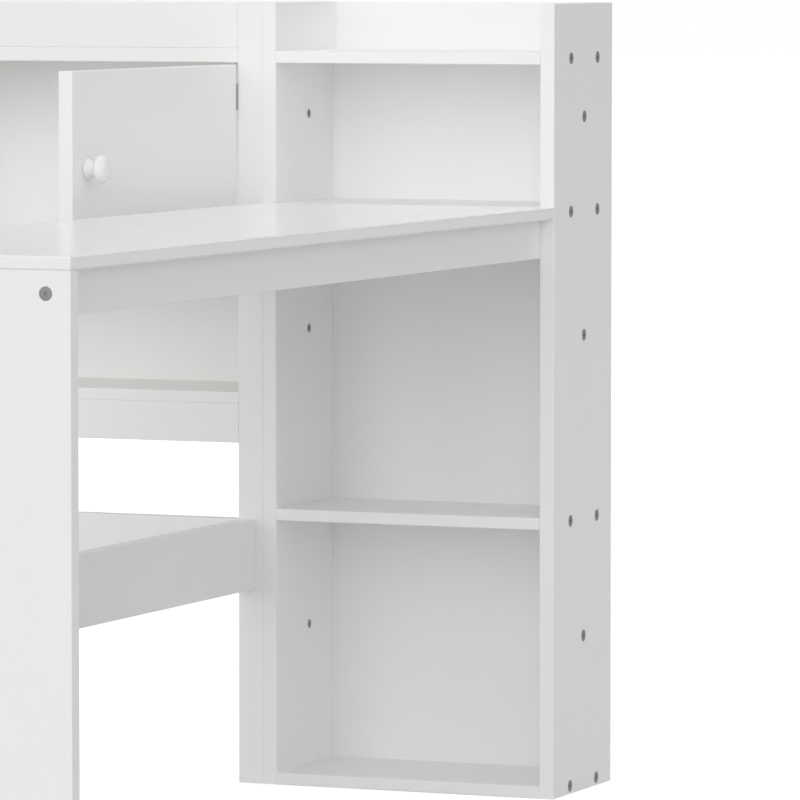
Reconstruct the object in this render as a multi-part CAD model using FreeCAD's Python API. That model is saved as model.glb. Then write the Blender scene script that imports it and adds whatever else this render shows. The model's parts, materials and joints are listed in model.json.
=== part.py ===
import FreeCAD, Part
import math
import os

# A corner desk of white lacquered boards. A narrow open tower stands at the corner; a desk wing
# runs forward from its desk-level shelf to an end panel; a wider cabinet with one hinged door is
# bolted to the tower's side, and a low rail runs forward from the cabinet to a short post.
#
# Millimetres, Z up. The pieces are made with X = 0 on the tower's outer face (they all lie at
# X <= 0), Y = 0 on the front of tower and cabinet (the wing runs to negative Y) and Z = 0 on the
# floor, and are written out about the middle of the footprint on the floor.

# Overall sizes
unit_height = 1000.0        # tower and cabinet
unit_depth = 204.0          # tower and cabinet
tower_width = 399.0
cabinet_width = 558.0
wing_length = 1398.0        # desktop, from the tower's front to its far end
desk_height = 745.5         # top of the desktop and of the tower's desk-level shelf

# Board thicknesses
side_t = 19.0               # tower sides
cabinet_side_t = 15.0
shelf_t = 15.0
cabinet_top_t = 18.3        # the shelf over the cabinet's door
desktop_t = 15.0
end_panel_t = 19.0
apron_t = 20.0
brace_t = 19.0
frame_t = 19.0              # stiles and cross rails of the cabinet's face frame
rail_t = 19.0
back_t = 9.0                # back panels, held in grooves
tray_back_t = 8.5

# Tower
tray_depth = 61.5           # from the top of the sides down to the top shelf
lower_shelf_top = 354.5

# Cabinet, from its top down
top_rail_height = 58.0
cupboard_height = 243.7     # clear height behind the door
cubby_height = 162.5        # clear height under the cupboard
shelf_rail_height = 50.0
rail_gap = 97.5             # open between the shelf rail and the cross board
cross_board_height = 90.0
stile_width = 34.0

# Desk wing and low rail
apron_height = 49.5
apron_tongue = 80.0         # how far each apron reaches into the tower
rail_inset = 11.0           # rail's outer face, in from the tower's side
post_side = 34.0

# Back panels and edges
back_setback = 10.0         # back panel's rear face, in from the rear of the unit
groove_depth = 4.0
groove_play = 0.2
ease = 1.2                  # radius of the eased edges
desktop_ease = 2.5          # radius of the desktop's edges

# Door
door_t = 18.6
door_side_gap = 2.0         # between the door's free edge and its stile
door_top_gap = 2.7
door_bottom_gap = 3.0
door_open = 90.1            # how far the door stands open as modelled, in degrees
knob_inset = 42.0           # knob's centre, in from the free edge
knob_d = 35.0
knob_base_d = 27.0
knob_neck_d = 20.5
knob_projection = 30.0
knob_stages = (0.08, 0.19, 0.34, 0.62, 0.88)    # foot, neck's ends, brim and crown, up its height
knob_bite = 12.0            # knob's screw, into the knob

# Hinges
hinge_gap = 1.6             # between the door's hinged edge and its stile
hinge_height = 34.0
hinge_inset = 24.0          # from the door's end to the hinge
leaf_t = 0.7
leaf_width = 14.0
hinge_screw_inset = 6.3     # hinge screws, in from the leaf's rear edge
pin_d = 1.2
pin_clearance = 0.05        # all round the pin in the door's knuckles
knuckle_d = 2.4
knuckle_room = 0.4          # round the knuckles, in door and stile
knuckle_split = 0.3         # between one knuckle and the next
pin_forward = 0.4           # pin's axis, in front of the face frame

# Magnetic catch
catch_size = (40.0, 12.0, 12.0)
catch_inset = 50.0          # catch's centre, in from the free edge
catch_screw_bite = 9.0      # into the shelf over it
plate_size = (30.0, 1.2, 8.0)
plate_drop = 1.0            # below the door's top edge
catch_air = 0.3             # between catch and plate with the door shut

# Fasteners
bolt_d = 6.0
bolt_head_d = 15.0
bolt_head_t = 2.0
bolt_front_inset = 59.5     # front bolts, in from the front of the unit
bolt_rear_inset = 52.0      # rear bolts, in from the rear
bottom_bolt_drop = 5.0      # lowest bolts, below the bottom shelf's top face
nut_d = 10.0
nut_length = 8.0
nut_reach = 34.0            # barrel nut's axis, in from the end of its board
bolt_past_nut = 2.0
joining_shares = (0.561, 0.600, 0.626)      # height of each joining bolt in its compartment
cap_nut_head_d = 11.5
cap_nut_d = 8.0
cap_nut_length = 14.0
cap_bolt_short = 5.0        # joining bolt's end, short of the far face
cap_bolt_head_d = 10.0
cap_bolt_head_t = 6.0
socket_width = 4.0
screw_d = 4.0
screw_head_d = 8.0
screw_head_t = 3.0
screw_slot = 0.6
screw_cross_share = 0.56    # width of the cross in a screw's head
small_screw_d = 2.6
small_screw_head_d = 5.2
small_screw_head_t = 1.3
small_screw_length = 12.0
desktop_screw_bite = 10.0   # into the desktop
desktop_screw_length = 50.0
tongue_screw_bite = 10.0    # into the tower's sides
desktop_screw_shares = (0.10, 0.35, 0.65, 0.90)
pair_shares = (0.2, 0.8)    # a pair of fasteners, along the piece that they hold
dowel_d = 8.0
thin_dowel_d = 5.0
dowel_depth = 18.0          # into the end of a board
dowel_short_depth = 10.0    # into the face of a board
dowel_edge_inset = 10.0     # dowels of the cross rails, in from the rail's edges
stile_dowel_depth = 20.0    # into the stiles
side_dowel_shares = (0.08, 0.35, 0.62, 0.90)
desktop_dowel_shares = (0.15, 0.5, 0.85)
hole_play = 0.2             # all round a bolt in its clearance hole
snug_play = 0.05            # all round a dowel or a threaded part
head_recess = 0.2           # bolt heads, below the face of the board
socket_depth = 3.0

# Places that several pieces share
outer_in = -side_t                              # inner face of the tower's outer side
inner_in = -tower_width + side_t                # inner face of the tower's inner side
seam = -tower_width                             # between tower and cabinet
cabinet_left = seam - cabinet_width
opening = (cabinet_left + stile_width, seam - stile_width)      # between the stiles
cabinet_in = (cabinet_left + cabinet_side_t, seam - cabinet_side_t)
back_rear = unit_depth - back_setback
back_front = back_rear - back_t
desk_under = desk_height - desktop_t
desk_shelf_under = desk_height - shelf_t
tower_top_shelf = unit_height - tray_depth      # its top face
apron_bottom = desk_under - apron_height
wing_end = -wing_length
cabinet_top_shelf = unit_height - top_rail_height
cupboard_top = cabinet_top_shelf - cabinet_top_t
divider_top = cupboard_top - cupboard_height
bottom_shelf_top = divider_top - shelf_t - cubby_height
shelf_rail_top = bottom_shelf_top - shelf_t
rail_top = shelf_rail_top - shelf_rail_height - rail_gap
rail_bottom = rail_top - cross_board_height
bolt_rows = (bolt_front_inset, unit_depth - bolt_rear_inset)
joining_row = sum(bolt_rows) / 2
rail_outer = seam - rail_inset
rail_middle = rail_outer - rail_t / 2

X, Y, Z = (FreeCAD.Vector(*unit) for unit in ((1, 0, 0), (0, 1, 0), (0, 0, 1)))
boards = {}                 # node name: one solid, drilled before it is written
holes = {}                  # node name: the tools that drill it
groups = {}                 # node name: the separate solids of a group of small parts


def at(x, y, z):
    return FreeCAD.Vector(x, y, z)


def box(x, y, z):
    """A block between the two limits given for each axis."""
    return Part.makeBox(x[1] - x[0], y[1] - y[0], z[1] - z[0], at(x[0], y[0], z[0]))


def rod(start, into, radius, length, skip=0.0):
    """A round bar along into, beginning skip past start."""
    return Part.makeCylinder(radius, length, start + into * skip, into)


def placed(shape, start, into):
    """A shape made along Z from the origin, moved to start and turned to point along into."""
    shape = shape.copy()
    shape.Placement = FreeCAD.Placement(start, FreeCAD.Rotation(Z, into))
    return shape


def eased(solid, names, radius):
    """A block with the named edges rounded; "-y+z" is the edge where faces -y and +z meet."""
    limits = solid.BoundBox
    faces = {"-x": limits.XMin, "+x": limits.XMax, "-y": limits.YMin,
             "+y": limits.YMax, "-z": limits.ZMin, "+z": limits.ZMax}

    def is_named(edge, name):
        pair = (name[:2], name[2:])
        return all(abs(getattr(edge.CenterOfMass, face[1]) - faces[face]) < 1e-6 for face in pair)

    edges = [e for e in solid.Edges if any(is_named(e, name) for name in names)]
    return solid.makeFillet(radius, edges)


upright_edges = ("-y-x", "-y+x", "+y-x", "+y+x", "+z-x", "+z+x", "+z-y", "+z+y")
front_edges = ("-y-z", "-y+z")
long_edges_along_y = ("-x-z", "-x+z", "+x-z", "+x+z")


def board(name, x, y, z, edges=(), radius=ease):
    """One board, with its showing edges rounded."""
    boards[name] = eased(box(x, y, z), edges, radius) if edges else box(x, y, z)


def drill(tool, *names):
    for name in names:
        holes.setdefault(name, []).append(tool)


def add(group, solid):
    groups.setdefault(group, []).append(solid)


def hexagon(width, depth):
    """A hexagonal prism along Z from just under the origin, width across its flats."""
    corner = width / 2 / math.cos(math.pi / 6)
    turns = [math.radians(60 * i) for i in range(7)]
    ring = Part.makePolygon([at(corner * math.cos(a), corner * math.sin(a), -1) for a in turns])
    return Part.Face(ring).extrude(Z * (depth + 1))


def bolt(start, into, length, head_d=bolt_head_d, head_t=bolt_head_t):
    """A bolt whose head's outer face is at start, with a hexagonal socket."""
    head = Part.makeCylinder(head_d / 2, head_t)
    head = head.makeFillet(head_t / 4, [e for e in head.Edges if e.Closed])
    shape = head.fuse(Part.makeCylinder(bolt_d / 2, length))
    return placed(shape.cut(hexagon(socket_width, socket_depth)), start, into)


def barrel_nut(group, centre, across, along, mouth):
    """A barrel nut lying along across, with its cross hole along along and its own hole to mouth."""
    nut = rod(centre, across, nut_d / 2, nut_length, -nut_length / 2)
    cross = rod(centre, along, bolt_d / 2 + snug_play, nut_d * 2, -nut_d)
    add(group, nut.cut(cross))
    return rod(centre, across, nut_d / 2 + snug_play, nut_length / 2 + snug_play + mouth,
               -nut_length / 2 - snug_play)


def bolt_and_nut(bolts, nuts, start, into, through, target, drilled, across, mouth):
    """A flush bolt through the boards in drilled and on into a barrel nut in the board target.

    through is the thickness of the boards in drilled. The nut lies along across, and its hole
    runs mouth further than the bolt's axis, out of the face that it was put in by."""
    reach = through + nut_reach + nut_d / 2 + bolt_past_nut
    add(bolts, bolt(start + into * head_recess, into, reach - head_recess))
    shaft = rod(start, into, bolt_d / 2 + hole_play, reach + 1)
    sink = rod(start, into, bolt_head_d / 2 + hole_play, bolt_head_t + head_recess)
    drill(shaft, target, *drilled)
    drill(sink, *drilled)
    drill(barrel_nut(nuts, start + into * (through + nut_reach), across, into, mouth), target)


def through_bolt(bolts, nuts, start, into, total, names):
    """A flush bolt through boards total thick, into a cap nut that is flush on the far face."""
    end = start + into * total
    add(bolts, bolt(start + into * head_recess, into, total - cap_bolt_short))
    cap = rod(end, -into, cap_nut_head_d / 2, bolt_head_t, head_recess)
    sleeve = rod(end, -into, cap_nut_d / 2, cap_nut_length, head_recess)
    bore = rod(end, -into, bolt_d / 2 + snug_play, cap_nut_length, bolt_head_t + 1)
    add(nuts, cap.fuse(sleeve).cut(bore))
    drill(rod(start, into, cap_nut_d / 2 + hole_play, total), *names)
    drill(rod(start, into, bolt_head_d / 2 + hole_play, bolt_head_t + head_recess), *names)
    drill(rod(end, -into, cap_nut_head_d / 2 + hole_play, bolt_head_t + head_recess), *names)


def dowel(group, face, into, depth, back_depth, names, diameter=dowel_d):
    """A dowel that reaches depth past the joint at face and back_depth behind it."""
    length = depth + back_depth
    add(group, rod(face, into, diameter / 2, length, -back_depth))
    drill(rod(face, into, diameter / 2 + snug_play, length + 2, -back_depth - 1), *names)


def screw(group, start, into, length, names, sizes=(screw_d, screw_head_d, screw_head_t)):
    """A countersunk wood screw, its head's face at start."""
    shank_d, head_d, head_t = sizes
    head = Part.makeCone(head_d / 2, shank_d / 2, head_t)
    shape = head.fuse(Part.makeCylinder(shank_d / 2, length))
    half = screw_slot / 2
    slot = box((-head_d, head_d), (-half, half), (-1, head_t / 3))
    cross = slot.fuse(box((-half, half), (-head_d, head_d), (-1, head_t / 3)))
    cross = cross.common(Part.makeCylinder(head_d / 2 * screw_cross_share, head_t, at(0, 0, -1)))
    add(group, placed(shape.cut(cross), start, into))
    tool = Part.makeCone(head_d / 2 + snug_play, shank_d / 2 + snug_play, head_t)
    tool = tool.fuse(Part.makeCylinder(shank_d / 2 + snug_play, length + 1))
    drill(placed(tool, start, into), *names)


small_screw = (small_screw_d, small_screw_head_d, small_screw_head_t)


# --- Tower: two sides, four fixed shelves, two back panels and a tray back ---------------------

unit_y = (0.0, unit_depth)
tower_x = (inner_in, outer_in)
shelf_tops = {
    "tower_bottom_shelf": shelf_t,
    "tower_lower_shelf": lower_shelf_top,
    "tower_desk_shelf": desk_height,
    "tower_top_shelf": tower_top_shelf,
}
board("tower_outer_side", (outer_in, 0.0), unit_y, (0.0, unit_height), upright_edges)
board("tower_inner_side", (seam, inner_in), unit_y, (0.0, unit_height), upright_edges)
for shelf, top in shelf_tops.items():
    depth = back_front if shelf == "tower_lower_shelf" else unit_depth
    board(shelf, tower_x, (0.0, depth), (top - shelf_t, top), front_edges)


def back_panel(name, x, z, neighbours):
    """A back panel between the limits x and z, let into grooves in its neighbours."""
    bite = groove_depth - groove_play
    wide, tall = (x[0] - bite, x[1] + bite), (z[0] - bite, z[1] + bite)
    board(name, wide, (back_front, back_rear), tall)
    groove = box((x[0] - groove_depth, x[1] + groove_depth),
                 (back_front - groove_play, back_rear + groove_play),
                 (z[0] - groove_depth, z[1] + groove_depth))
    drill(groove, *neighbours)


tower_sides = ("tower_outer_side", "tower_inner_side")
back_panel("tower_lower_back", tower_x, (shelf_t, desk_shelf_under),
           (*tower_sides, "tower_bottom_shelf", "tower_desk_shelf"))
back_panel("tower_upper_back", tower_x, (desk_height, tower_top_shelf - shelf_t),
           (*tower_sides, "tower_desk_shelf", "tower_top_shelf"))


def tray_back(name, x, floor, sides):
    """The board behind a tray, standing on its shelf and dowelled into both sides."""
    rear = (unit_depth - tray_back_t, unit_depth)
    board(name, x, rear, (floor, unit_height), ("+z-y", "+z+y"))
    for height in (floor + (unit_height - floor) / 3, floor + (unit_height - floor) * 2 / 3):
        for side, edge, into in zip(sides, x, (X, -X)):
            dowel("tray_dowels", at(edge, sum(rear) / 2, height), into, dowel_depth,
                  dowel_short_depth, (name, side), thin_dowel_d)


tray_back("tower_tray_back", tower_x, tower_top_shelf, ("tower_inner_side", "tower_outer_side"))

for shelf, top in shelf_tops.items():
    drop = bottom_bolt_drop if shelf == "tower_bottom_shelf" else shelf_t / 2
    for row in bolt_rows:
        mouth = shelf_t - drop
        for bolts, start, into, side in (
            ("outer_shelf_bolts", at(0, row, top - drop), -X, "tower_outer_side"),
            ("inner_shelf_bolts", at(seam, row, top - drop), X, "tower_inner_side"),
        ):
            bolt_and_nut(bolts, "tower_barrel_nuts", start, into, side_t, shelf, (side,), -Z, mouth)

# --- Desk wing: desktop, end panel, two aprons with a brace between them ----------------------

board("desktop", (seam, 0.0), (wing_end, 0.0), (desk_under, desk_height),
      (*long_edges_along_y, "-y-x", "-y+x", *front_edges), desktop_ease)
end_panel_y = (wing_end, wing_end + end_panel_t)
board("end_panel", (seam, 0.0), end_panel_y, (0.0, desk_under),
      ("-y-x", "-y+x", "+y-x", "+y+x", "-z-x", "-z+x", "-z-y", "-z+y"))

apron_x = {
    "outer_apron": (outer_in - apron_t, outer_in),
    "inner_apron": (inner_in, inner_in + apron_t),
}
apron_y = (end_panel_y[1], apron_tongue)
apron_z = (apron_bottom, desk_under)
apron_top = max(desk_under, desk_shelf_under)       # before it is cut to fit under both boards
apron_mid = sum(apron_z) / 2
screw_sink = max(apron_height + desktop_screw_bite - desktop_screw_length, 0.0)
for apron, x in apron_x.items():
    board(apron, x, apron_y, (apron_bottom, apron_top), ("-x-z", "+x-z"))
    drill(box(x, (wing_end, 0.0), (desk_under, desk_height)), apron)
    drill(box(x, (0.0, unit_depth), (desk_shelf_under, desk_height)), apron)
    middle = sum(x) / 2
    into = X if apron == "outer_apron" else -X
    side = "tower_outer_side" if apron == "outer_apron" else "tower_inner_side"
    inner_face = x[0] if apron == "outer_apron" else x[1]
    bolt_and_nut("end_panel_bolts", "wing_barrel_nuts", at(middle, wing_end, apron_mid), Y,
                 end_panel_t, apron, ("end_panel",), -into, apron_t / 2)
    for share in desktop_screw_shares:
        foot = at(middle, end_panel_y[1] * share, apron_bottom)
        drill(rod(foot, Z, screw_head_d / 2 + hole_play, screw_sink), apron)
        screw("desktop_screws", foot + Z * screw_sink, Z,
              apron_height - screw_sink + desktop_screw_bite, (apron, "desktop"))
    for share in pair_shares:
        screw("tongue_screws", at(inner_face, apron_tongue * share, apron_mid), into,
              apron_t + tongue_screw_bite, (apron, side))

brace_y = (wing_end - brace_t) / 2
board("apron_brace", (apron_x["inner_apron"][1], apron_x["outer_apron"][0]),
      (brace_y, brace_y + brace_t), apron_z, ("-y-z", "+y-z"))
for height in (apron_bottom + apron_height / 4, apron_bottom + apron_height * 3 / 4):
    for apron, into in (("outer_apron", -X), ("inner_apron", X)):
        face = apron_x[apron][0] if apron == "outer_apron" else apron_x[apron][1]
        dowel("wing_dowels", at(face, brace_y + brace_t / 2, height), into, dowel_depth,
              dowel_short_depth, (apron, "apron_brace"))
for share in desktop_dowel_shares:
    dowel("wing_dowels", at(seam * share, sum(end_panel_y) / 2, desk_under), Z,
          dowel_short_depth, dowel_depth, ("end_panel", "desktop"))
    dowel("wing_dowels", at(seam * share, 0.0, desk_height - min(desktop_t, shelf_t) / 2), Y,
          dowel_depth, dowel_depth, ("desktop", "tower_desk_shelf"))

# --- Cabinet: face frame, two sides, three notched shelves, back panel and tray back ----------

frame_y = (0.0, frame_t)
behind_frame = (frame_t, unit_depth)
stiles = {
    "cabinet_left_stile": (cabinet_left, opening[0]),
    "cabinet_right_stile": (opening[1], seam),
}
cabinet_sides = {
    "cabinet_left_side": (cabinet_left, cabinet_in[0]),
    "cabinet_right_side": (cabinet_in[1], seam),
}
for name, x in stiles.items():
    board(name, x, frame_y, (0.0, unit_height), ("-y-x", "-y+x", "+z-y"))
for name, x in cabinet_sides.items():
    board(name, x, behind_frame, (0.0, unit_height), ("+y-x", "+y+x", "+z-x", "+z+x", "+z+y"))

rail_heights = {
    "cabinet_top_rail": (cabinet_top_shelf, unit_height),
    "cabinet_shelf_rail": (shelf_rail_top - shelf_rail_height, shelf_rail_top),
    "cabinet_cross_board": (rail_bottom, rail_top),
}
for name, z in rail_heights.items():
    board(name, opening, frame_y, z, ("-y-z", "-y+z", "+y-z", "+y+z"))
    for height in (z[0] + dowel_edge_inset, z[1] - dowel_edge_inset):
        for stile, edge, into in zip(stiles, opening, (X, -X)):
            dowel("face_frame_dowels", at(edge, frame_t / 2, height), into, dowel_depth,
                  stile_dowel_depth, (name, stile))

for share in side_dowel_shares:
    for stile, side in zip(stiles, cabinet_sides):
        middle = sum(cabinet_sides[side]) / 2
        dowel("face_frame_dowels", at(middle, frame_t, unit_height * share), Y, dowel_depth,
              dowel_short_depth, (stile, side))

cabinet_shelves = {
    "cabinet_bottom_shelf": (shelf_rail_top, bottom_shelf_top, unit_depth),
    "cabinet_divider": (divider_top - shelf_t, divider_top, back_front),
    "cabinet_top_shelf": (cupboard_top, cabinet_top_shelf, unit_depth),
}
for shelf, (under, top, depth) in cabinet_shelves.items():
    nose = eased(box(opening, frame_y, (under, top)), front_edges, ease)
    boards[shelf] = nose.fuse(box(cabinet_in, (frame_t, depth), (under, top))).removeSplitter()
    middle = (under + top) / 2
    for row in bolt_rows:
        for bolts, start, into, side in (
            ("cabinet_left_bolts", at(cabinet_left, row, middle), X, "cabinet_left_side"),
            ("cabinet_right_bolts", at(seam, row, middle), -X, "cabinet_right_side"),
        ):
            bolt_and_nut(bolts, "cabinet_barrel_nuts", start, into, cabinet_side_t, shelf,
                         (side,), -Z, (top - under) / 2)

back_panel("cabinet_back", cabinet_in, (bottom_shelf_top, cupboard_top),
           (*cabinet_sides, "cabinet_bottom_shelf", "cabinet_top_shelf"))
tray_back("cabinet_tray_back", cabinet_in, cabinet_top_shelf,
          ("cabinet_left_side", "cabinet_right_side"))

# --- Joining bolts, one for each compartment of the tower, and a spare set in its outer side --

floors = (shelf_t, lower_shelf_top, desk_height)
ceilings = (lower_shelf_top - shelf_t, desk_shelf_under, tower_top_shelf - shelf_t)
for floor, ceiling, share in zip(floors, ceilings, joining_shares):
    height = floor + (ceiling - floor) * share
    through_bolt("joining_bolts", "joining_cap_nuts", at(cabinet_in[1], joining_row, height), X,
                 cabinet_side_t + side_t, ("cabinet_right_side", "tower_inner_side"))
    through_bolt("spare_bolts", "spare_cap_nuts", at(0, joining_row, height), -X, side_t,
                 ("tower_outer_side",))

# --- Low rail: from the face of the cabinet's stile to a post beside the end panel ------------

post_y = (wing_end, wing_end + post_side)
board("rail_post", (seam - post_side, seam), post_y, (0.0, rail_top), upright_edges)
board("side_rail", (rail_outer - rail_t, rail_outer), (post_y[1], 0.0), (rail_bottom, rail_top),
      long_edges_along_y)
for height in (rail_bottom + cross_board_height / 4, rail_top - cross_board_height / 4):
    bolt_and_nut("rail_bolts", "wing_barrel_nuts", at(rail_middle, wing_end, height), Y,
                 post_side, "side_rail", ("rail_post",), -X, rail_t / 2)
    start = at(rail_middle, frame_t + cap_bolt_head_t, height)
    reach = cap_bolt_head_t + frame_t + nut_reach + nut_d
    add("stile_bolts", bolt(start, -Y, reach, cap_bolt_head_d, cap_bolt_head_t))
    drill(rod(start, -Y, bolt_d / 2 + hole_play, reach + 1), "cabinet_right_stile", "side_rail")
    drill(barrel_nut("wing_barrel_nuts", at(rail_middle, -nut_reach, height), -X, Y, rail_t / 2),
          "side_rail")
for share in pair_shares:
    bolt_and_nut("post_bolts", "wing_barrel_nuts",
                 at(seam - post_side, sum(end_panel_y) / 2, rail_bottom * share), X, post_side,
                 "end_panel", ("rail_post",), Y, end_panel_t / 2)

# --- Door: made shut, with its hinges, knob and strike plate, then opened about the pins ------

pin_x = opening[1] - hinge_gap / 2
pin_y = -pin_forward
door_x = (opening[0] + door_side_gap, opening[1] - hinge_gap)
door_z = (divider_top + door_bottom_gap, cupboard_top - door_top_gap)
board("door_panel", door_x, (0.0, door_t), door_z, upright_edges + ("-z-x", "-z+x", "-z-y", "-z+y"))

hinge_floors = (door_z[0] + hinge_inset, door_z[1] - hinge_inset - hinge_height)
knuckle = hinge_height / 3
leaf_y = (pin_y + pin_d / 2 + pin_clearance, pin_y + pin_d / 2 + pin_clearance + leaf_width)


def knuckles(floor, count_from, count, radius, spread=0.0):
    """Stretches of the hinge's barrel, counted in thirds from its lower end."""
    pieces = [rod(at(pin_x, pin_y, floor + knuckle * (count_from + 2 * i) - spread), Z,
                  radius, knuckle + 2 * spread) for i in range(count)]
    return pieces[0].fuse(pieces[1:]) if count > 1 else pieces[0]


def leaf(x, floor, own, other):
    """A hinge leaf with its own knuckles, clear of the other leaf's."""
    plate = box(x, leaf_y, (floor, floor + hinge_height))
    plate = plate.cut(knuckles(floor, *other, knuckle_d / 2 + knuckle_room, knuckle_split))
    return plate.fuse(knuckles(floor, *own, knuckle_d / 2))


for floor in hinge_floors:
    whole = rod(at(pin_x, pin_y, floor - 1), Z, knuckle_d / 2 + knuckle_room, hinge_height + 2)
    drill(whole, "door_panel", "cabinet_right_stile")
    pin_hole = rod(at(pin_x, pin_y, floor - 1), Z, pin_d / 2, hinge_height + 2)
    door_pin_hole = rod(at(pin_x, pin_y, floor - 1), Z, pin_d / 2 + pin_clearance, hinge_height + 2)
    frame_leaf = leaf((opening[1] - leaf_t, opening[1]), floor, (0, 2), (1, 1)).cut(pin_hole)
    door_leaf = leaf((door_x[1], door_x[1] + leaf_t), floor, (1, 1), (0, 2))
    trim = knuckles(floor, 0, 2, knuckle_d / 2 + knuckle_room, knuckle_split)
    door_leaf = door_leaf.cut([door_pin_hole, trim])
    add("hinge_pins", rod(at(pin_x, pin_y, floor), Z, pin_d / 2, hinge_height))
    tools = {"frame_hinge_leaves": [], "door_hinge_leaves": []}
    row = leaf_y[1] - hinge_screw_inset
    for share in pair_shares:
        height = floor + hinge_height * share
        screw("frame_hinge_screws", at(opening[1] - leaf_t, row, height), X, small_screw_length,
              ("cabinet_right_stile",), small_screw)
        tools["frame_hinge_leaves"].append(holes["cabinet_right_stile"][-1])
        screw("door_hinge_screws", at(door_x[1] + leaf_t, row, height), -X, small_screw_length,
              ("door_panel",), small_screw)
        tools["door_hinge_leaves"].append(holes["door_panel"][-1])
    add("frame_hinge_leaves", frame_leaf.cut(tools["frame_hinge_leaves"]))
    add("door_hinge_leaves", door_leaf.cut(tools["door_hinge_leaves"]))

knob_x, knob_z = door_x[0] + knob_inset, sum(door_z) / 2


def turned(outline):
    """A solid turned about Z from runs of (radius, height) points: a pair is a straight line,
    and a run of four is a smooth curve that starts and ends along its first and last pairs."""
    edges = []
    for run in outline:
        points = [at(radius, 0, height) for radius, height in run]
        curve = Part.BezierCurve()
        curve.setPoles(points)
        edges.append(curve.toShape() if len(points) == 4 else Part.makeLine(*points))
    return Part.Face(Part.Wire(edges)).revolve(at(0, 0, 0), Z, 360)


base, neck, head = (size / 2 for size in (knob_base_d, knob_neck_d, knob_d))
foot, neck_start, neck_end, brim, crown = (knob_projection * stage for stage in knob_stages)
top = knob_projection
knob = turned((
    ((0, 0), (base, 0)),
    ((base, 0), (base, foot)),
    ((base, foot), (base, neck_start), (neck, neck_start), (neck, neck_end)),
    ((neck, neck_end), (neck, (neck_end + brim) / 2), (head, (neck_end + brim) / 2), (head, brim)),
    ((head, brim), (head, crown), (base / 2, top), (0, top)),
    ((0, top), (0, 0)),
))
knob = knob.cut(Part.makeCylinder(screw_d / 2 + snug_play, knob_bite + 1))
boards["door_knob"] = placed(knob, at(knob_x, 0, knob_z), -Y)
screw_start = at(knob_x, door_t, knob_z)
screw("knob_screw", screw_start, -Y, door_t + knob_bite, ("door_panel",))

plate_x = (door_x[0] + catch_inset - plate_size[0] / 2, door_x[0] + catch_inset + plate_size[0] / 2)
plate_y = (door_t, door_t + plate_size[1])
plate_z = (door_z[1] - plate_drop - plate_size[2], door_z[1] - plate_drop)
board("strike_plate", plate_x, plate_y, plate_z)
for share in pair_shares:
    screw("strike_screws", at(plate_x[0] + plate_size[0] * share, plate_y[1], sum(plate_z) / 2), -Y,
          small_screw_length, ("strike_plate", "door_panel"), small_screw)

catch_x = (door_x[0] + catch_inset - catch_size[0] / 2, door_x[0] + catch_inset + catch_size[0] / 2)
catch_y = (plate_y[1] + catch_air, plate_y[1] + catch_air + catch_size[1])
board("magnetic_catch", catch_x, catch_y, (cupboard_top - catch_size[2], cupboard_top),
      ("-z-x", "-z+x", "-z-y", "-z+y"))
for share in pair_shares:
    place = at(catch_x[0] + catch_size[0] * share, sum(catch_y) / 2, cupboard_top - catch_size[2])
    screw("catch_screws", place, Z, catch_size[2] + catch_screw_bite,
          ("magnetic_catch", "cabinet_top_shelf"), small_screw)

# --- Drilling, opening the door and writing the files -----------------------------------------

door_nodes = ("door_panel", "door_knob", "knob_screw", "door_hinge_leaves", "door_hinge_screws",
              "strike_plate", "strike_screws")
middle = at(cabinet_left / 2, (wing_end + unit_depth) / 2, 0.0)


def finished(name):
    """A node's solids, drilled, with the door opened, about the middle of the footprint."""
    if name in boards:
        solid = boards[name].cut(holes[name]) if name in holes else boards[name]
        shape = solid.removeSplitter()
        shape = shape.Solids[0] if len(shape.Solids) == 1 else shape
    else:
        shape = Part.makeCompound([s for solid in groups[name] for s in solid.Solids])
    if name in door_nodes:
        shape = shape.copy()
        shape.rotate(at(pin_x, pin_y, 0), Z, door_open)
    return shape.translated(-middle)


os.makedirs("parts", exist_ok=True)
for node in (*boards, *groups):
    finished(node).exportStep(f"parts/{node}.step")
print("door hinge axis", at(pin_x, pin_y, 0) - middle, "nodes", len(boards) + len(groups))
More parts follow.
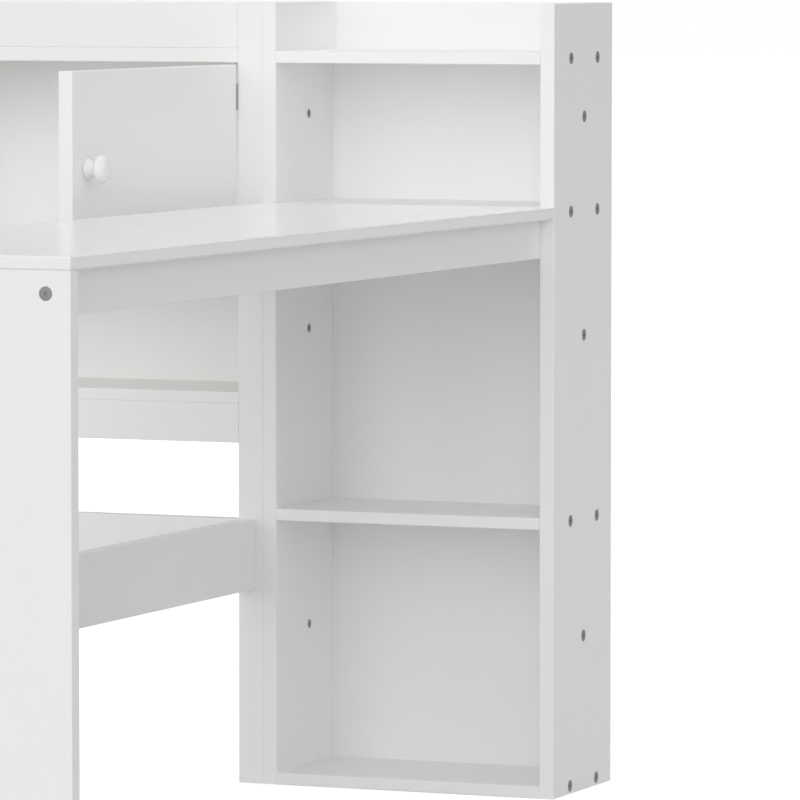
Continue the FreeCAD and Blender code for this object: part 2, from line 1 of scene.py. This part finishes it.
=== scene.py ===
import json
import math
import bmesh
import bpy
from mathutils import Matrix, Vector


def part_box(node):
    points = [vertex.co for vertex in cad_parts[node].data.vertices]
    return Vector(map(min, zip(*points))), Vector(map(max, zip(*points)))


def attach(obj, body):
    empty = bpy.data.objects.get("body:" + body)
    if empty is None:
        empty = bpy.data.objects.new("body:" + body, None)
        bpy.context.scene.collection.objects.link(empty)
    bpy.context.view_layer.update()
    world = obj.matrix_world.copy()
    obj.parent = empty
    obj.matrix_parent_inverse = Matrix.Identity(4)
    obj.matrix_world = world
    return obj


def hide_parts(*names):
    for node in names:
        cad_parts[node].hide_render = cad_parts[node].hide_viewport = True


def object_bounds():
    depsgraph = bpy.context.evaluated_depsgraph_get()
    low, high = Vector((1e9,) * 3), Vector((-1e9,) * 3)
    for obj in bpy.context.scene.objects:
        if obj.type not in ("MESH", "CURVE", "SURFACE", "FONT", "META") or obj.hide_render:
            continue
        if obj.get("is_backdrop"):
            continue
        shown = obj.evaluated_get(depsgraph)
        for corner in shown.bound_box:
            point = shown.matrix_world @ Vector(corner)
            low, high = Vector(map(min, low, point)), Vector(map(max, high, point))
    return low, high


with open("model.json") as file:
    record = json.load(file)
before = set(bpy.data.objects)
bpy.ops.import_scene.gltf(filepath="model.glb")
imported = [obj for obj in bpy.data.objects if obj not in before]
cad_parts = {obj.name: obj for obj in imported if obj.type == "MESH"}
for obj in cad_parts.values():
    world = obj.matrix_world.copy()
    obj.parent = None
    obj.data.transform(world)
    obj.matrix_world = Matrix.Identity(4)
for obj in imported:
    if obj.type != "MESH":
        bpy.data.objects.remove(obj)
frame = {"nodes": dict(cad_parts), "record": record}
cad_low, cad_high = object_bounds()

# Camera: a long lens a little above the top of the tower, turned towards the inner corner of the
# desk, so that the wing runs out of the left of the frame towards its end panel.
front_corner = Vector((cad_high.x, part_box("tower_outer_side")[0].y, 0.0))
camera_data = bpy.data.cameras.new("camera")
camera = bpy.data.objects.new("camera", camera_data)
bpy.context.scene.collection.objects.link(camera)
camera_data.sensor_width = 36.0
camera_data.lens = 288.8
camera_data.clip_end = 200.0
from_corner = Vector((2.91587, -7.47860, 1.06591))
camera.location = front_corner + from_corner
turned_left = math.radians(22.676)
looking_down = math.radians(4.005)
camera.rotation_euler = (math.pi / 2 - looking_down, 0.0, turned_left)
bpy.context.scene.camera = camera


# Studio: a white room lit by large soft panels, the strongest of them in front of the desk. Seen
# by the camera the room is an even white, and the light bounces often between white boards.
def add_node(tree, kind, settings=None, links=None):
    """One node with its settings, which are inputs by name or number or attributes, and links."""
    made = tree.nodes.new(kind)
    for key, value in (settings or {}).items():
        if isinstance(key, int) or key in made.inputs:
            made.inputs[key].default_value = value
        else:
            setattr(made, key, value)
    for key, socket in (links or {}).items():
        tree.links.new(socket, made.inputs[key])
    return made


bpy.context.scene.view_settings.view_transform = "Standard"
bpy.context.scene.cycles.diffuse_bounces = 10
bpy.context.scene.cycles.max_bounces = 14
room = bpy.data.worlds.new("studio")
bpy.context.scene.world = room
room.use_nodes = True
tree = room.node_tree
tree.nodes.clear()
white = (1.0, 1.0, 1.0, 1.0)
room_light = 0.02
panel_radius = math.radians(36)
panel_core = math.radians(16)
light_panels = {             # degrees to the right of straight in front, degrees up: brightness
    (0, 15): 1.85,
    (-35, 15): 0.33,
    (-70, 15): 0.9,
    (35, 15): 0.6,
    (70, 15): 0.5,
    (105, 15): 0.55,
    (-135, 15): 0.6,
    (30, 45): 0.3,
    (90, 45): 0.35,
    (180, 45): 0.9,
    (0, 88): 1.25,
}
towards = add_node(tree, "ShaderNodeTexCoord").outputs["Generated"]
total = None
for (right, up), brightness in light_panels.items():
    across, rise = math.radians(right), math.radians(up)
    aim = (math.sin(across) * math.cos(rise), -math.cos(across) * math.cos(rise), math.sin(rise))
    near = add_node(tree, "ShaderNodeVectorMath", {"operation": "DOT_PRODUCT", 1: aim}, {0: towards})
    panel = add_node(tree, "ShaderNodeMapRange", {
        "interpolation_type": "SMOOTHSTEP", "From Min": math.cos(panel_radius),
        "From Max": math.cos(panel_core), "To Min": 0.0, "To Max": brightness,
    }, {"Value": near.outputs["Value"]})
    if total:
        total = add_node(tree, "ShaderNodeMath", links={0: total.outputs[0], 1: panel.outputs[0]})
    else:
        total = add_node(tree, "ShaderNodeMath", {1: room_light}, {0: panel.outputs[0]})
lit = add_node(tree, "ShaderNodeBackground", {"Color": white}, {"Strength": total.outputs[0]})
seen = add_node(tree, "ShaderNodeBackground", {"Color": white, "Strength": 1.0})
ray = add_node(tree, "ShaderNodeLightPath")
mixed = add_node(tree, "ShaderNodeMixShader", links={
    0: ray.outputs["Is Camera Ray"], 1: lit.outputs[0], 2: seen.outputs[0],
})
add_node(tree, "ShaderNodeOutputWorld", links={"Surface": mixed.outputs[0]})


# Floor: a pale matt studio floor that runs out into the white room. It gives light back to the
# desk as a painted floor does, and looks almost as white as the room behind it.
def linear(code):
    """A linear colour from an sRGB hex code."""
    parts = [int(code[i:i + 2], 16) / 255 for i in (1, 3, 5)]
    return (*[c / 12.92 if c <= 0.04045 else ((c + 0.055) / 1.055) ** 2.4 for c in parts], 1.0)


floor_radius = 60.0
floor_drop = 0.0005
floor_glow = 0.72
bpy.ops.object.select_all(action="DESELECT")
bpy.ops.mesh.primitive_circle_add(vertices=96, radius=floor_radius, fill_type="NGON",
                                  location=(0.0, 0.0, cad_low.z - floor_drop))
floor = bpy.context.object
floor.name = "floor"
floor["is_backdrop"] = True
floor_paint = bpy.data.materials.new("matt_white_floor_paint")
floor_paint.use_nodes = True
tree = floor_paint.node_tree
tree.nodes.clear()
paint = add_node(tree, "ShaderNodeBsdfDiffuse", {"Color": linear("#dadada")})
seen_paint = add_node(tree, "ShaderNodeBsdfDiffuse", {"Color": linear("#bcbcbc")})
glow = add_node(tree, "ShaderNodeEmission", {"Strength": floor_glow})
bright = add_node(tree, "ShaderNodeAddShader", links={0: seen_paint.outputs[0], 1: glow.outputs[0]})
ray = add_node(tree, "ShaderNodeLightPath")
mixed = add_node(tree, "ShaderNodeMixShader", links={
    0: ray.outputs["Is Camera Ray"], 1: paint.outputs[0], 2: bright.outputs[0],
})
add_node(tree, "ShaderNodeOutputMaterial", links={"Surface": mixed.outputs[0]})
floor.data.materials.append(floor_paint)


# Tower: two full-height sides and four fixed shelves of medium-density fibreboard, bolted through
# the sides. Sprayed satin white lacquer, two coats, with softly sanded edges: an even white with a
# fine orange peel that breaks up the sheen a little.
def lacquer(name, light, dark, roughness, peel_height, peel_width=0.0035):
    """Sprayed lacquer: a faint cloudy tone, a slightly uneven sheen, and an orange peel drawn
    coarser than the real 1.5 mm, because that is too fine to show."""
    made = bpy.data.materials.new(name)
    made.use_nodes = True
    tree = made.node_tree
    shader = tree.nodes["Principled BSDF"]
    place = add_node(tree, "ShaderNodeTexCoord").outputs["Object"]
    cloud_width, sheen_width, sheen_spread = 0.16, 0.03, 0.03
    cloud = add_node(tree, "ShaderNodeTexNoise", {"Scale": 1 / cloud_width, "Detail": 3.0},
                     {"Vector": place})
    tone = add_node(tree, "ShaderNodeMixRGB", {1: linear(light), 2: linear(dark)},
                    {0: cloud.outputs["Fac"]})
    sheen = add_node(tree, "ShaderNodeTexNoise", {"Scale": 1 / sheen_width, "Detail": 4.0},
                     {"Vector": place})
    gloss = add_node(tree, "ShaderNodeMapRange", {
        "From Min": 0.3, "From Max": 0.7, "To Min": roughness * (1 - sheen_spread),
        "To Max": roughness * (1 + sheen_spread),
    }, {"Value": sheen.outputs["Fac"]})
    peel = add_node(tree, "ShaderNodeTexNoise", {"Scale": 1 / peel_width, "Detail": 2.0},
                    {"Vector": place})
    bump = add_node(tree, "ShaderNodeBump", {"Strength": 1.0, "Distance": peel_height},
                    {"Height": peel.outputs["Fac"]})
    tree.links.new(tone.outputs[0], shader.inputs["Base Color"])
    tree.links.new(gloss.outputs[0], shader.inputs["Roughness"])
    tree.links.new(bump.outputs[0], shader.inputs["Normal"])
    return made


def finish_nodes(material, *names):
    """Gives the CAD nodes with these names one material."""
    for name in names:
        mesh = frame["nodes"][name].data
        mesh.materials.clear()
        mesh.materials.append(material)


satin_white = lacquer("satin_white_lacquer", "#f5f5f5", "#f4f4f4", 0.40, 0.000004)
finish_nodes(satin_white, "tower_outer_side", "tower_inner_side", "tower_bottom_shelf",
             "tower_lower_shelf", "tower_desk_shelf", "tower_top_shelf")

# Back panels and tray backs: thinner fibreboard, let into grooves or dowelled between the sides.
# One thin coat of the same lacquer lies flatter on it, so it has less sheen and a faint fibre.
back_white = lacquer("matt_white_back_lacquer", "#f6f6f6", "#f5f5f4", 0.55, 0.000006, 0.0022)
finish_nodes(back_white, "tower_lower_back", "tower_upper_back", "tower_tray_back",
             "cabinet_back", "cabinet_tray_back")

# Desktop: one board from the tower's shelf to the end panel, screwed up from the aprons. Its
# lacquer is flatted and polished for writing on, so it mirrors the door softly at a low angle.
desktop_white = lacquer("smooth_white_desktop_lacquer", "#f4f4f4", "#f3f3f3", 0.16, 0.0000002, 0.005)
finish_nodes(desktop_white, "desktop")

# Desk wing: the end panel that carries the desktop, two aprons under its edges and the brace
# between them, of the same sprayed fibreboard as the tower.
wing_white = lacquer("satin_white_wing_lacquer", "#f3f3f3", "#f2f2f1", 0.41, 0.000004)
finish_nodes(wing_white, "end_panel", "outer_apron", "inner_apron", "apron_brace")

# Low rail: a long rail from the cabinet's stile to a short square post. Solid pine under satin
# white lacquer, so its faces keep a faint grain that runs along the rail.
def patterned(name, kind, size, light, dark, rough, height, metallic=0.0):
    """A finish with one pattern node of size along X, Y and Z. The pattern shifts the colour
    between light and dark, the roughness between its two values, and the surface by height."""
    made = bpy.data.materials.new(name)
    made.use_nodes = True
    tree = made.node_tree
    shader = tree.nodes["Principled BSDF"]
    place = add_node(tree, "ShaderNodeTexCoord").outputs["Object"]
    scaled = add_node(tree, "ShaderNodeMapping", {"Scale": tuple(1 / part for part in size)},
                      {"Vector": place})
    pattern = add_node(tree, kind, {"Scale": 1.0}, {"Vector": scaled.outputs[0]}).outputs[0]
    tone = add_node(tree, "ShaderNodeMixRGB", {1: linear(light), 2: linear(dark)}, {0: pattern})
    gloss = add_node(tree, "ShaderNodeMapRange", {"To Min": rough[0], "To Max": rough[1]},
                     {"Value": pattern})
    bump = add_node(tree, "ShaderNodeBump", {"Distance": height}, {"Height": pattern})
    tree.links.new(tone.outputs[0], shader.inputs["Base Color"])
    tree.links.new(gloss.outputs[0], shader.inputs["Roughness"])
    tree.links.new(bump.outputs[0], shader.inputs["Normal"])
    shader.inputs["Metallic"].default_value = metallic
    return made


noise, cells = "ShaderNodeTexNoise", "ShaderNodeTexVoronoi"
grain_width, grain_length = 0.0025, 0.09        # pine's growth rings, where they meet the face
rail_white = patterned("satin_white_lacquered_pine", noise,
                       (grain_width, grain_length, grain_width), "#f4f4f3", "#f2f1f0",
                       (0.36, 0.48), 0.000006)
finish_nodes(rail_white, "side_rail", "rail_post")

# Cabinet: a face frame of two stiles and three cross rails, dowelled, with two sides behind it
# and three shelves notched round the stiles. Satin white lacquer over fibreboard.
cabinet_white = lacquer("satin_white_cabinet_lacquer", "#f5f5f4", "#f4f3f2", 0.40, 0.000004)
finish_nodes(cabinet_white, "cabinet_left_stile", "cabinet_right_stile", "cabinet_left_side",
             "cabinet_right_side", "cabinet_top_rail", "cabinet_shelf_rail",
             "cabinet_cross_board", "cabinet_bottom_shelf", "cabinet_divider",
             "cabinet_top_shelf")

# Door: one flat board hung on two butt hinges, sprayed all round in the same satin lacquer.
door_white = lacquer("satin_white_door_lacquer", "#f6f6f5", "#f5f4f4", 0.38, 0.000004)
finish_nodes(door_white, "door_panel")


# Knob: turned and dipped in a thick gloss white glaze, on a flat foot with a bead round it, a
# waist and a full round head. One screw through the door holds it.
def grow(rings):
    """Extrudes the selected face up through (height, radius) rings."""
    height, radius = rings[0]
    for next_height, next_radius in rings[1:]:
        bpy.ops.mesh.extrude_region_move(
            TRANSFORM_OT_translate={"value": (0.0, 0.0, next_height - height)})
        share = next_radius / radius
        bpy.ops.transform.resize(value=(share, share, 1.0))
        height, radius = next_height, next_radius


def start_turned(name, rings, facets):
    """A closed turned solid about Z, from a disc at its first ring up to its last, in edit mode."""
    bpy.ops.object.select_all(action="DESELECT")
    bpy.ops.mesh.primitive_circle_add(vertices=facets, radius=rings[0][1], fill_type="NGON",
                                      location=(0.0, 0.0, 0.0))
    piece = bpy.context.object
    piece.name = name
    bpy.ops.object.mode_set(mode="EDIT")
    bpy.ops.mesh.select_all(action="SELECT")
    bpy.ops.transform.translate(value=(0.0, 0.0, rings[0][0]))
    grow(rings)
    bpy.ops.mesh.select_all(action="SELECT")
    bpy.ops.mesh.normals_make_consistent(inside=False)
    return piece


def set_down(piece, point, facing):
    """Turns a piece made along Z to face along facing at a point, with its place in its mesh."""
    bpy.ops.object.select_all(action="DESELECT")
    piece.select_set(True)
    bpy.context.view_layer.objects.active = piece
    piece.rotation_euler = Vector(facing).to_track_quat("Z", "Y").to_euler()
    piece.location = point
    bpy.ops.object.transform_apply(location=True, rotation=True, scale=True)


door_joint = frame["record"]["behaviour"]["joints"][0]
door_turn = math.radians(-door_joint["range_deg"][0])
door_front = Vector((math.sin(door_turn), -math.cos(door_turn), 0.0))
knob_low, knob_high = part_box("door_knob")
knob_middle = (knob_low + knob_high) / 2
knob_rise = knob_high.x - knob_low.x
knob_radius = (knob_high.z - knob_low.z) / 2
foot_share, waist_share = 0.77, 0.585
foot_radius, waist_radius = knob_radius * foot_share, knob_radius * waist_share
knob_rings = [
    (0.0, foot_radius * 0.97), (knob_rise * 0.025, foot_radius), (knob_rise * 0.08, foot_radius),
    (knob_rise * 0.13, foot_radius * 0.93), (knob_rise * 0.155, foot_radius * 0.86),
    (knob_rise * 0.175, foot_radius * 0.87), (knob_rise * 0.215, foot_radius * 0.85),
    (knob_rise * 0.24, waist_radius * 1.04), (knob_rise * 0.30, waist_radius),
    (knob_rise * 0.38, waist_radius * 1.03), (knob_rise * 0.44, waist_radius * 1.18),
    (knob_rise * 0.49, knob_radius * 0.86), (knob_rise * 0.55, knob_radius * 0.96),
    (knob_rise * 0.63, knob_radius * 0.998), (knob_rise * 0.71, knob_radius * 0.975),
    (knob_rise * 0.80, knob_radius * 0.88), (knob_rise * 0.88, knob_radius * 0.73),
    (knob_rise * 0.945, knob_radius * 0.52), (knob_rise * 0.985, knob_radius * 0.27),
    (knob_rise * 0.999, knob_radius * 0.06),
]
knob = start_turned("glazed_knob", knob_rings, 48)
bpy.ops.object.mode_set(mode="OBJECT")
rounded = knob.modifiers.new("rounded", "SUBSURF")
rounded.levels = 2
rounded.render_levels = 2
bpy.ops.object.modifier_apply(modifier="rounded")
bpy.ops.object.shade_smooth()
set_down(knob, knob_middle - door_front * (knob_rise / 2), door_front)
pooled_width = 0.012        # the glaze pools a little thicker and thinner as it runs off
glaze = patterned("gloss_white_glaze", noise, (pooled_width,) * 3, "#f1f1f1", "#ededec",
                  (0.10, 0.18), 0.00003)
shader = glaze.node_tree.nodes["Principled BSDF"]
shader.inputs["Coat Weight"].default_value = 0.6
shader.inputs["Coat Roughness"].default_value = 0.06
knob.data.materials.append(glaze)
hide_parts("door_knob")
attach(knob, "door")

# Hinges: two small butt hinges, pressed from steel strip, rolled round their pins and nickel
# plated. The plating is a dull grey, brushed along the strip.
brush_width, brush_length = 0.0003, 0.012       # coarser than the real 0.05 mm scratches
nickel = patterned("nickel_plated_steel", noise, (brush_width, brush_width, brush_length),
                   "#b9b8b6", "#a5a4a2", (0.26, 0.42), 0.00001, metallic=1.0)
finish_nodes(nickel, "frame_hinge_leaves", "door_hinge_leaves", "hinge_pins",
             "frame_hinge_screws", "door_hinge_screws")

# Bright zinc fittings: the strike plate, the wood screws and the barrel nuts. The passivated
# plating is bluish and fairly shiny, with a faint spangle, drawn coarse so that it can show.
spangle_width = 0.0012
zinc = patterned("bright_zinc_plate", cells, (spangle_width,) * 3, "#c9ccd1", "#b4b8bf",
                 (0.24, 0.38), 0.000008, metallic=1.0)
finish_nodes(zinc, "strike_plate", "strike_screws", "catch_screws", "knob_screw",
             "desktop_screws", "tongue_screws", "tower_barrel_nuts", "cabinet_barrel_nuts",
             "wing_barrel_nuts")

# Magnetic catch: a moulded ABS case screwed under the cabinet's top shelf, with two steel pole
# strips in a recess in its front. A spark-eroded mould leaves it evenly matt.
catch_low, catch_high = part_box("magnetic_catch")
catch_middle = (catch_low + catch_high) / 2
catch_size = catch_high - catch_low
lip, recess, case_round = 0.0022, 0.0015, 0.0006
facing_front = -0.9
bpy.ops.object.select_all(action="DESELECT")
bpy.ops.mesh.primitive_cube_add(size=1.0, location=catch_middle, scale=catch_size)
catch = bpy.context.object
catch.name = "catch_case"
bpy.ops.object.transform_apply(location=True, rotation=True, scale=True)
for face in catch.data.polygons:
    face.select = face.normal.y < facing_front
bpy.ops.object.mode_set(mode="EDIT")
bpy.ops.mesh.select_mode(type="FACE")
bpy.ops.mesh.inset(thickness=lip)
bpy.ops.mesh.extrude_region_move(TRANSFORM_OT_translate={"value": (0.0, recess, 0.0)})
bpy.ops.object.mode_set(mode="OBJECT")
softened = catch.modifiers.new("softened", "BEVEL")
softened.width = case_round
softened.segments = 3
bpy.ops.object.modifier_apply(modifier="softened")
bpy.ops.object.shade_smooth_by_angle(angle=math.radians(40))
spark_width = 0.0006        # drawn coarse: the real grain is about 0.1 mm
moulded = patterned("moulded_white_plastic", noise, (spark_width,) * 3, "#f0f0ec", "#e9e9e4",
                    (0.44, 0.58), 0.00002)
catch.data.materials.append(moulded)
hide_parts("magnetic_catch")
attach(catch, "carcass")

pole_size = Vector((catch_size.x - 4 * lip, recess * 1.6, 0.0012))
pole_set_back, pole_offset, pole_round = recess * 0.9, catch_size.z * 0.17, 0.0003
for number, side in enumerate((-1, 1), start=1):
    pole_middle = Vector((catch_middle.x, catch_low.y + pole_set_back,
                          catch_middle.z + side * pole_offset))
    bpy.ops.object.select_all(action="DESELECT")
    bpy.ops.mesh.primitive_cube_add(size=1.0, location=pole_middle, scale=pole_size)
    pole = bpy.context.object
    pole.name = f"catch_pole_{number}"
    bpy.ops.object.transform_apply(location=True, rotation=True, scale=True)
    worn = pole.modifiers.new("worn", "BEVEL")
    worn.width = pole_round
    worn.segments = 2
    bpy.ops.object.modifier_apply(modifier="worn")
    pole.data.materials.append(zinc)
    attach(pole, "carcass")


# Bolts and cap nuts: flat-headed furniture bolts and the cap nuts that they screw into, sunk just
# below the boards' faces. Cold-formed steel with a grey zinc-flake coat: matt, even and mid grey.
def solids_of(node):
    """The lowest and highest corner of each separate solid of a CAD node."""
    weld = 1e-6
    mesh = bmesh.new()
    mesh.from_mesh(frame["nodes"][node].data)
    bmesh.ops.remove_doubles(mesh, verts=mesh.verts, dist=weld)
    waiting = set(mesh.verts)
    found = []
    while waiting:
        group = [waiting.pop()]
        for vert in group:
            near = {edge.other_vert(vert) for edge in vert.link_edges} & waiting
            waiting -= near
            group.extend(near)
        spans = [[vert.co[axis] for vert in group] for axis in range(3)]
        found.append((Vector(map(min, spans)), Vector(map(max, spans))))
    mesh.free()
    return sorted(found, key=lambda box: tuple(round(value, 4) for value in box[0].zyx))


flake_width = 0.0008        # drawn coarse: the real flakes are about 0.02 mm
flake = patterned("grey_zinc_flake_coat", noise, (flake_width,) * 3, "#9a9a9b", "#8f8f90",
                  (0.48, 0.62), 0.00002, metallic=0.25)
bolt_shank, cap_shank = 0.0030, 0.0040
flush_head, flush_cap, proud_head = 0.0020, 0.0020, 0.0060
socket_width, socket_depth = 0.0040, 0.0012


def fastener(name, head_radius, head_height, shank_radius, length):
    """A turned head and shank along Z, its head's face at the origin, with a hexagonal socket."""
    crown, chamfer, point, step = head_radius * 0.94, 0.0004, 0.0008, 0.00002
    rings = [
        (-length, shank_radius * 0.7), (-length + point, shank_radius),
        (-head_height - chamfer, shank_radius), (-head_height, shank_radius + chamfer),
        (-head_height + step, head_radius * 0.97), (-head_height + chamfer, head_radius),
        (-chamfer * 1.2, head_radius), (-chamfer * 0.4, head_radius * 0.985), (0.0, crown),
        (0.0, socket_width * 0.78),
    ]
    piece = start_turned(name, rings, 36)
    bpy.ops.object.mode_set(mode="OBJECT")
    bpy.ops.object.select_all(action="DESELECT")
    bpy.ops.mesh.primitive_cylinder_add(vertices=6, radius=socket_width / math.sqrt(3),
                                        depth=socket_depth * 2, location=(0.0, 0.0, 0.0))
    key = bpy.context.object
    piece.select_set(True)
    key.select_set(False)
    bpy.context.view_layer.objects.active = piece
    socket = piece.modifiers.new("socket", "BOOLEAN")
    socket.operation = "DIFFERENCE"
    socket.solver = "EXACT"
    socket.object = key
    bpy.ops.object.modifier_apply(modifier="socket")
    bpy.ops.object.shade_smooth_by_angle(angle=math.radians(35))
    bpy.data.objects.remove(key)
    piece.data.materials.append(flake)
    return piece


fastener_kinds = {
    "outer_shelf_bolts": ((1, 0, 0), bolt_shank, flush_head),
    "inner_shelf_bolts": ((-1, 0, 0), bolt_shank, flush_head),
    "cabinet_left_bolts": ((-1, 0, 0), bolt_shank, flush_head),
    "cabinet_right_bolts": ((1, 0, 0), bolt_shank, flush_head),
    "end_panel_bolts": ((0, -1, 0), bolt_shank, flush_head),
    "rail_bolts": ((0, -1, 0), bolt_shank, flush_head),
    "post_bolts": ((-1, 0, 0), bolt_shank, flush_head),
    "stile_bolts": ((0, 1, 0), bolt_shank, proud_head),
    "joining_bolts": ((-1, 0, 0), bolt_shank, flush_head),
    "joining_cap_nuts": ((1, 0, 0), cap_shank, flush_cap),
    "spare_bolts": ((1, 0, 0), bolt_shank, flush_head),
    "spare_cap_nuts": ((-1, 0, 0), cap_shank, flush_cap),
}
for node, (facing, shank_radius, head_height) in fastener_kinds.items():
    facing = Vector(facing)
    boxes = solids_of(node)
    size = boxes[0][1] - boxes[0][0]
    length = abs(size.dot(facing))
    head_radius = size.z / 2
    model = fastener(f"{node}_1", head_radius, head_height, shank_radius, length)
    for number, (low, high) in enumerate(boxes, start=1):
        piece = model
        if number < len(boxes):
            piece = model.copy()
            piece.data = model.data.copy()
            bpy.context.scene.collection.objects.link(piece)
        piece.name = f"{node}_{number}"
        set_down(piece, (low + high) / 2 + facing * (length / 2), facing)
        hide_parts(node)
        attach(piece, "carcass")

# Dowels: turned beech pins glued into the boards' ends, out of sight once the desk is together.
# Beech is pale brown with short darker flecks along its grain, and is left bare and dull.
fleck_width, fleck_length = 0.0006, 0.004
beech = patterned("turned_beech", noise, (fleck_width, fleck_length, fleck_width), "#d9bd94",
                  "#c6a375", (0.55, 0.70), 0.00004)
finish_nodes(beech, "face_frame_dowels", "tray_dowels", "wing_dowels")

low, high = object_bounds()
